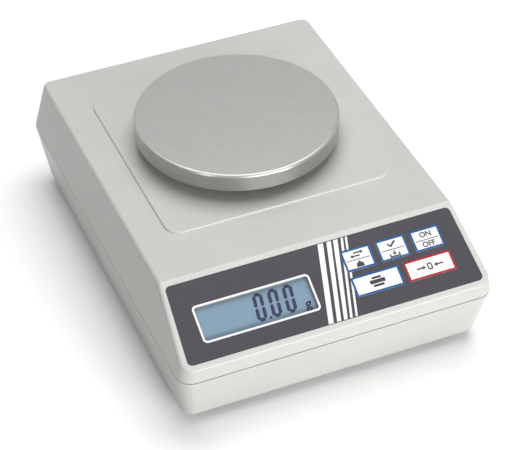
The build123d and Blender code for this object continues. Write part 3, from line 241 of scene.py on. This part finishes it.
FINISHES = {
    "housing_abs": moulded_abs,
    "panel_film": polyester_film,
    "key_print": key_film,
    "clear_window": clear_acrylic,
    "display_glass": display_glass,
    "light_guide": opal_acrylic,
    "stainless_steel": satin_stainless,
    "zinc_steel": zinc_plate,
    "machined_aluminium": milled_aluminium,
    "brass": turned_brass,
    "black_plastic": black_abs,
    "rubber": nitrile_rubber,
    "circuit_board": solder_mask,
    "gauge_foil": polyimide_foil,
    "battery_case": battery_can,
    "white_plastic": moulded_nylon,
    "cable_sheath": cable_vinyl,
}
for part in frame["nodes"].values():
    for place in part.material_slots:
        place.material = FINISHES[place.material.name.split(".")[0]]


# ------------------------------------------------------------ printed panel

# Ink: its thickness, how far it sinks into what carries it, and the skin of a node that counts as its face
INK = 0.03 * MM
INK_SUNK = 0.01 * MM
FACE_SKIN = 0.2 * MM

# Flat shapes: steps in a round corner, and how near to a cut and to each other points count as one, in metres
CORNER_SEGMENTS = 8
ON_CUT = 1e-8
DOUBLES = 1e-6


def flat_vector(x, y):
    """A step across and up the panel, in millimetres."""
    return Vector((x, y, 0)) * MM


def top_of(node):
    """How far out of the panel a CAD node reaches."""
    return max(OUT.dot(corner.co) for corner in frame["nodes"][node].data.vertices)


def face_of(node):
    """A node's face on the panel: its lowest corner and size across and up, and its level."""
    level = top_of(node)
    corners = [v.co for v in frame["nodes"][node].data.vertices if OUT.dot(v.co) > level - FACE_SKIN]
    across, up = [ACROSS.dot(corner) for corner in corners], [UP.dot(corner) for corner in corners]
    low = Vector((min(across), min(up), 0))
    return low, Vector((max(across), max(up), 0)) - low, level


def grown(low, size, by):
    """A rectangle's low corner and size when its sides move out by a distance, or in by a negative one."""
    step = Vector((by, by, 0))
    return low - step, size + 2 * step


def flat(outline):
    """A flat face from its corners, counter-clockwise, in metres across and up the panel."""
    shape = bmesh.new()
    shape.faces.new([shape.verts.new((x, y, 0)) for x, y in outline])
    return shape


def round_plate(low, size, corner=0.0):
    """A flat rectangle, with round corners if a radius is given."""
    high = low + size
    shape = flat([(low.x, low.y), (high.x, low.y), (high.x, high.y), (low.x, high.y)])
    if corner:
        bmesh.ops.bevel(
            shape, geom=shape.verts[:], offset=corner, segments=CORNER_SEGMENTS,
            affect="VERTICES", profile=0.5, material=-1,
        )
    return shape


def round_ring(low, size, corner, width):
    """A flat round-cornered band, its outer edge as given."""
    shape = round_plate(low, size, corner)
    bmesh.ops.inset_region(
        shape, faces=shape.faces[:], thickness=width, use_boundary=True, use_even_offset=True
    )
    middle = max(shape.faces, key=lambda face: face.calc_area())
    bmesh.ops.delete(shape, geom=[middle], context="FACES")
    return shape


def leave_out(shape, outline):
    """Cuts a convex opening out of a flat shape, side by side."""
    inside = shape.faces[:]
    for start, end in zip(outline, outline[1:] + outline[:1]):
        side = end - start
        outward = Vector((side.y, -side.x, 0))
        edges = {edge for face in inside for edge in face.edges}
        corners = {corner for face in inside for corner in face.verts}
        cut = bmesh.ops.bisect_plane(
            shape, geom=[*inside, *edges, *corners], plane_co=start, plane_no=outward, dist=ON_CUT
        )
        faces = [piece for piece in cut["geom"] if isinstance(piece, bmesh.types.BMFace)]
        inside = [face for face in faces if (face.calc_center_median() - start).dot(outward) < 0]
        if not inside:
            return
    bmesh.ops.delete(shape, geom=inside, context="FACES")


def lay(name, shapes, level, finish, body, thick=INK):
    """Gives flat shapes a thickness and lays them on the panel's slope as one piece."""
    mesh = bpy.data.meshes.new(name)
    whole = bmesh.new()
    for shape in shapes:
        shape.to_mesh(mesh)
        shape.free()
        whole.from_mesh(mesh)
    walls = bmesh.ops.extrude_face_region(whole, geom=whole.faces[:])
    raised = [corner for corner in walls["geom"] if isinstance(corner, bmesh.types.BMVert)]
    bmesh.ops.translate(whole, verts=raised, vec=(0, 0, thick))
    bmesh.ops.recalc_face_normals(whole, faces=whole.faces[:])
    slope = Matrix((ACROSS, UP, OUT)).transposed().to_4x4() @ Matrix.Translation((0, 0, level))
    bmesh.ops.transform(whole, matrix=slope, verts=whole.verts[:])
    whole.to_mesh(mesh)
    whole.free()
    mesh.materials.append(finish)
    piece = linked(name, mesh)
    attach(piece, body)


film_low, film_size, film_level = face_of("keypad_overlay")
window_low, window_size, window_level = face_of("display_window")
KEYS = ("key_mode", "key_set", "key_power", "key_print", "key_tare")
KEY_GAP = 0.12 * MM
KEY_CORNER = 1.0 * MM


def key_opening(key):
    """The corners of the opening that a key needs in the print round it, in order."""
    low, size, _ = face_of(key)
    shape = round_plate(*grown(low, size, KEY_GAP), KEY_CORNER + KEY_GAP)
    corners = [corner.co.copy() for corner in shape.faces[:][0].verts]
    shape.free()
    return corners


# White stripes between the display and the keys, wider and further apart towards the display. Each one's left
# and right edge at its foot and at its top, in millimetres from the film's centre line
STRIPES = (
    (-5.6, -3.0, 4.1, 7.0),
    (-1.2, 0.9, 8.8, 11.2),
    (2.4, 4.3, 12.3, 14.7),
    (5.6, 6.9, 16.3, 17.6),
    (8.5, 9.6, 18.6, 19.7),
)
STRIPE_END = 0.35 * MM


def stripe(low_left, low_right, high_left, high_right):
    """One stripe, from near the film's lower edge to near its upper edge, open round the keys."""
    centre = film_low.x + film_size.x / 2
    foot, top = film_low.y + STRIPE_END, film_low.y + film_size.y - STRIPE_END
    corners = ((low_left, foot), (low_right, foot), (high_right, top), (high_left, top))
    shape = flat([(centre + x * MM, y) for x, y in corners])
    for key in KEYS:
        leave_out(shape, key_opening(key))
    return shape


stripes = [stripe(*edges) for edges in STRIPES]
lay("panel_stripes", stripes, film_level - INK_SUNK, white_ink, "root")

# White frame round the display
FRAME_WIDTH = 1.0 * MM
WINDOW_CORNER = 1.3 * MM
frame_outer = grown(window_low, window_size, FRAME_WIDTH)
frame_ring = round_ring(*frame_outer, WINDOW_CORNER + FRAME_WIDTH, FRAME_WIDTH)
lay("display_frame", [frame_ring], film_level - INK_SUNK, white_ink, "root")


# ------------------------------------------------------------------ display

# Front glass of the display: it stands in the opening, from the cell below up to just under the window
WINDOW_THICK = 1.8 * MM
FRONT_GLASS_GAP = 0.15 * MM
FRONT_GLASS_CORNER = 1.2 * MM
cell_level = top_of("lcd_glass")
glass_level = window_level - WINDOW_THICK - FRONT_GLASS_GAP
front_glass = round_plate(*grown(window_low, window_size, -FRONT_GLASS_GAP / 2), FRONT_GLASS_CORNER)
lay(
    "display_front_glass", [front_glass], cell_level, display_glass, "root",
    thick=glass_level - cell_level,
)

# Size and slant of a digit, and a segment's half width, pointed end, gap and thickness
DIGIT = flat_vector(5.2, 14.3)
SLANT = 0.11
SEGMENT_HALF = 0.88 * MM
SEGMENT_POINT = 0.7 * MM
SEGMENT_GAP = 0.12 * MM
SEGMENT_THICK = 0.02 * MM

# Places in the reading, from the window's lower right corner: each digit's lower right corner, the decimal
# point's low corner and the unit's centre
DIGIT_FEET = [flat_vector(across, 2.2) for across in (-25.2, -17.5, -9.8)]
POINT_LOW = flat_vector(-24.3, 2.3)
POINT_SIZE = flat_vector(1.3, 1.3)
POINT_CORNER = 0.3 * MM
UNIT_CENTRE = flat_vector(-4.0, 4.2)
UNIT_SIZE = 6.9 * MM
UNIT_BOLD = 0.2 * MM
LETTER_SMOOTHNESS = 6


def bar(start, end):
    """A display segment: a straight bar with pointed ends."""
    along = (end - start).normalized()
    side = Vector((along.y, -along.x, 0)) * SEGMENT_HALF
    left, right = start + along * SEGMENT_POINT, end - along * SEGMENT_POINT
    corners = (start, left + side, right + side, end, right - side, left - side)
    return flat([corner.xy for corner in corners])


def nought(corner):
    """A seven-segment nought, leaning to the right, from its lower right corner."""
    low, middle, high = SEGMENT_HALF, DIGIT.y / 2, DIGIT.y - SEGMENT_HALF
    near, far = SEGMENT_HALF, DIGIT.x - SEGMENT_HALF
    path = [(near, low), (far, low), (far, middle), (far, high), (near, high), (near, middle)]
    lean = Matrix.Identity(4)
    lean[0][1] = SLANT
    bars = []
    for start, end in zip(path, path[1:] + path[:1]):
        start, end = Vector((*start, 0)), Vector((*end, 0))
        gap = (end - start).normalized() * SEGMENT_GAP
        piece = bar(start + gap, end - gap)
        bmesh.ops.transform(piece, matrix=lean, verts=piece.verts[:])
        bmesh.ops.translate(piece, vec=(corner.x - DIGIT.x, corner.y, 0), verts=piece.verts[:])
        bars.append(piece)
    return bars


def lettering(text, size, centre, bold, slant=0.0):
    """Generic characters as a flat shape, centred on a point of the panel."""
    curve = bpy.data.curves.new(text, "FONT")
    curve.body = text
    curve.size = size
    curve.offset = bold
    curve.shear = slant
    curve.align_x = "CENTER"
    curve.align_y = "CENTER"
    curve.resolution_u = LETTER_SMOOTHNESS
    holder = bpy.data.objects.new(text, curve)
    shape = bmesh.new()
    shape.from_mesh(bpy.data.meshes.new_from_object(holder))
    bmesh.ops.remove_doubles(shape, verts=shape.verts[:], dist=DOUBLES)
    bmesh.ops.translate(shape, vec=centre, verts=shape.verts[:])
    bpy.data.objects.remove(holder)
    bpy.data.curves.remove(curve)
    return shape


window_corner = Vector((window_low.x + window_size.x, window_low.y, 0))
reading = [piece for foot in DIGIT_FEET for piece in nought(window_corner + foot)]
reading.append(round_plate(window_corner + POINT_LOW, POINT_SIZE, POINT_CORNER))
reading.append(lettering("g", UNIT_SIZE, window_corner + UNIT_CENTRE, UNIT_BOLD, SLANT))
lay("display_reading", reading, glass_level, segment_ink, "root", thick=SEGMENT_THICK)


# --------------------------------------------------------------- key print

# Border of a key, and the line between its two rows with the rows' middles
BORDER = 0.95 * MM
BORDER_INSET = 0.02 * MM
LINE = 0.4 * MM
LINE_DROP = 0.4 * MM
LINE_MARGIN = 0.6 * MM
UPPER_ROW = flat_vector(0, 2.3)
LOWER_ROW = flat_vector(0, -2.9)

# Words, in the same rows
WORD_SIZE = 3.9 * MM
WORD_BOLD = 0.1 * MM

# Arrows, in millimetres: a stem's thickness and its extra length, which laps over the head, and the heads'
# widths. A head's length is a share of its width
ARROW_STEM = 0.75
ARROW_LAP = 0.02
SWAP_HEAD = 1.9
TARE_HEAD = 2.2
HEAD_SHARE = 0.8

# Nought of the tare key
NOUGHT = flat_vector(2.6, 3.8)
NOUGHT_CORNER = 1.2 * MM
NOUGHT_STROKE = 0.7 * MM


def block(x, y, width, height):
    """The corners of a rectangle round its own centre."""
    half, tall = width / 2, height / 2
    return (x - half, y - tall), (x + half, y - tall), (x + half, y + tall), (x - half, y + tall)


def arrow(x, y, length, head, way=1):
    """An arrow's head and stem, both counter-clockwise. It points right for way 1 and left for -1."""
    tip = x + way * length / 2
    neck = tip - way * head * HEAD_SHARE
    tail = x - way * length / 2
    corners = [(tip, y), (neck, y + head / 2), (neck, y - head / 2)]
    stem = block((tail + neck) / 2, y, abs(neck - tail) + ARROW_LAP, ARROW_STEM)
    return corners[::way], stem


# Symbols as outlines in millimetres round a row's middle, or round the key's
SWAP = (*arrow(1.1, 0.8, 5.2, SWAP_HEAD), *arrow(-1.1, -0.8, 5.2, SWAP_HEAD, way=-1))
WEIGHT = (((-2.1, -1.45), (2.1, -1.45), (1.6, 0.75), (-1.6, 0.75)), block(0, 1.15, 1.3, 0.9))
TICK = (((-2.3, 0.1), (-0.6, -1.6), (2.6, 1.0), (1.95, 1.75), (-0.6, -0.45), (-1.7, 0.75)),)
STORE = (
    (
        (-2.8, 0.3), (-2.8, -1.6), (2.8, -1.6), (2.8, 0.3),
        (2.05, 0.3), (2.05, -0.85), (-2.05, -0.85), (-2.05, 0.3),
    ),
    ((0, -0.6), (1.2, 0.6), (0.38, 0.6), (0.38, 1.7), (-0.38, 1.7), (-0.38, 0.6), (-1.2, 0.6)),
)
PRINTER = (block(0, 0.2, 8.0, 2.0), block(0, 2.2, 4.8, 1.1), block(0, -1.9, 5.6, 1.2))
TARE_ARROWS = (*arrow(-4.6, 0, 5.0, TARE_HEAD), *arrow(4.6, 0, 5.0, TARE_HEAD, way=-1))


def symbol(centre, outlines):
    """Flat shapes from outlines round a centre."""
    return [flat([(centre.x + x * MM, centre.y + y * MM) for x, y in outline]) for outline in outlines]


def mode_marks(centre):
    """Change-over arrows above a weight."""
    return symbol(centre + UPPER_ROW, SWAP) + symbol(centre + LOWER_ROW, WEIGHT)


def set_marks(centre):
    """A tick above an arrow into a tray."""
    return symbol(centre + UPPER_ROW, TICK) + symbol(centre + LOWER_ROW, STORE)


def power_marks(centre):
    """ON above OFF."""
    words = (("ON", UPPER_ROW), ("OFF", LOWER_ROW))
    return [lettering(word, WORD_SIZE, centre + row, WORD_BOLD) for word, row in words]


def print_marks(centre):
    """A printer with its sheet of paper."""
    return symbol(centre, PRINTER)


def tare_marks(centre):
    """Two arrows that meet at nought."""
    middle = round_ring(centre - NOUGHT / 2, NOUGHT, NOUGHT_CORNER, NOUGHT_STROKE)
    return symbol(centre, TARE_ARROWS) + [middle]


def key_print(key, colour, marks, two_rows):
    """A key's coloured border, its symbols and, between two rows, the dividing line."""
    low, size, level = face_of(key)
    centre = low + size / 2
    body = next(name for name, nodes in frame["record"]["behaviour"]["bodies"].items() if key in nodes)
    ring = round_ring(*grown(low, size, -BORDER_INSET), KEY_CORNER - BORDER_INSET, BORDER)
    lay(key + "_border", [ring], level - INK_SUNK, colour, body)
    shapes = []
    if two_rows:
        line = Vector((size.x - 2 * (BORDER + BORDER_INSET + LINE_MARGIN), LINE, 0))
        shapes.append(round_plate(centre - line / 2 - Vector((0, LINE_DROP, 0)), line))
    lay(key + "_symbols", shapes + marks(centre), level - INK_SUNK, grey_ink, body)


key_print("key_mode", blue_ink, mode_marks, two_rows=True)
key_print("key_set", blue_ink, set_marks, two_rows=True)
key_print("key_power", blue_ink, power_marks, two_rows=True)
key_print("key_print", blue_ink, print_marks, two_rows=False)
key_print("key_tare", red_ink, tare_marks, two_rows=False)


# -------------------------------------------------- floor, world and lamps

FLOOR_REACH = 6.0
FLOOR_PAPER = "#D4D4D4"
WORLD_STRENGTH = 0.29


def seen_directly(tree):
    """1 for what is seen by the camera, in a reflection or through glass, and 0 for light on the object."""
    ray = add(tree, "ShaderNodeLightPath").outputs
    share = ray["Is Camera Ray"]
    for kind in ("Is Glossy Ray", "Is Transmission Ray"):
        share = add(tree, "ShaderNodeMath", {0: share, 1: ray[kind]}, operation="MAXIMUM").outputs[0]
    return share


def mix(tree, share, first, second):
    """The socket of a mix of two shaders."""
    return add(tree, "ShaderNodeMixShader", {0: share, 1: first, 2: second}).outputs[0]


def stand(name, shape, finish):
    """Puts a flat shape into the scene, beside the object."""
    mesh = bpy.data.meshes.new(name)
    shape.to_mesh(mesh)
    shape.free()
    mesh.materials.append(finish)
    piece = linked(name, mesh)


def floor():
    """Pale floor: it counts double where it is seen directly, so that only the shadow keeps it from white.

    The object is lit by it as by light grey paper, and from below it is clear.
    """
    shape = bmesh.new()
    bmesh.ops.create_grid(shape, x_segments=1, y_segments=1, size=FLOOR_REACH)
    made, tree = blank("white_paper")
    paper = add(tree, "ShaderNodeBsdfDiffuse", {"Color": linear(FLOOR_PAPER)}).outputs[0]
    doubled = add(tree, "ShaderNodeAddShader", {0: paper, 1: paper}).outputs[0]
    below = add(tree, "ShaderNodeNewGeometry").outputs["Backfacing"]
    clear = add(tree, "ShaderNodeBsdfTransparent").outputs[0]
    surface = mix(tree, below, mix(tree, seen_directly(tree), paper, doubled), clear)
    add(tree, "ShaderNodeOutputMaterial", {"Surface": surface})
    stand("floor", shape, made)


def card(name, start, end, low, high, glow):
    """An upright studio card that only reflections see: black for a glow of 0, a soft box for more."""
    shape = bmesh.new()
    corners = zip((start, end, end, start), (low, low, high, high))
    shape.faces.new([shape.verts.new((x, y, z)) for (x, y), z in corners])
    made, tree = blank(name)
    reflected = add(tree, "ShaderNodeLightPath").outputs["Is Glossy Ray"]
    clear = add(tree, "ShaderNodeBsdfTransparent").outputs[0]
    shown = add(tree, "ShaderNodeEmission", {"Color": linear(WHITE), "Strength": glow}).outputs[0]
    add(tree, "ShaderNodeOutputMaterial", {"Surface": mix(tree, reflected, clear, shown)})
    stand(name, shape, made)


def hang(name, data, place, aim, roll=0.0):
    """Puts a lamp or a camera at a place, turned towards a point and rolled by an angle in degrees."""
    holder = linked(name, data)
    holder.location = place
    holder.rotation_mode = "QUATERNION"
    towards = (Vector(aim) - Vector(place)).to_track_quat("-Z", "Y")
    holder.rotation_quaternion = towards @ Matrix.Rotation(math.radians(roll), 4, "Z").to_quaternion()
    return holder


def lamp(name, place, aim, size, power):
    """A soft box that shines at a point."""
    light = bpy.data.lights.new(name, "AREA")
    light.shape = "RECTANGLE"
    light.size, light.size_y = size
    light.energy = power
    hang(name, light, place, aim)


floor()
card("black_card", start=(-0.62, -0.2), end=(-0.45, 0.35), low=0.0, high=0.22, glow=0.0)
card("soft_strip", start=(-0.7, -0.38), end=(-0.58, -0.52), low=0.02, high=0.8, glow=4.0)
lamp("overhead", place=(0.25, 0.35, 1.3), aim=(0, 0, 0.03), size=(1.2, 1.0), power=10.8)
lamp("front_fill", place=(0.3, -1.6, 0.3), aim=(0, 0, 0.04), size=(1.5, 0.5), power=21.5)

# Studio walls: white where they are seen, and a dimmer light on the object
world = bpy.data.worlds.new("studio")
bpy.context.scene.world = world
world.use_nodes = True
tree = world.node_tree
tree.nodes.clear()
room = add(tree, "ShaderNodeBackground", {"Color": linear(WHITE), "Strength": WORLD_STRENGTH}).outputs[0]
backdrop = add(tree, "ShaderNodeBackground", {"Color": linear(WHITE), "Strength": 1.0}).outputs[0]
add(tree, "ShaderNodeOutputWorld", {"Surface": mix(tree, seen_directly(tree), room, backdrop)})

camera = bpy.data.cameras.new("camera")
camera.sensor_width = SENSOR
camera.lens = LENS
camera.clip_start, camera.clip_end = CAMERA_CLIP
bpy.context.scene.camera = hang("camera", camera, CAMERA_AT, CAMERA_TOWARDS, CAMERA_ROLL)
bpy.context.scene.view_settings.view_transform = "Standard"
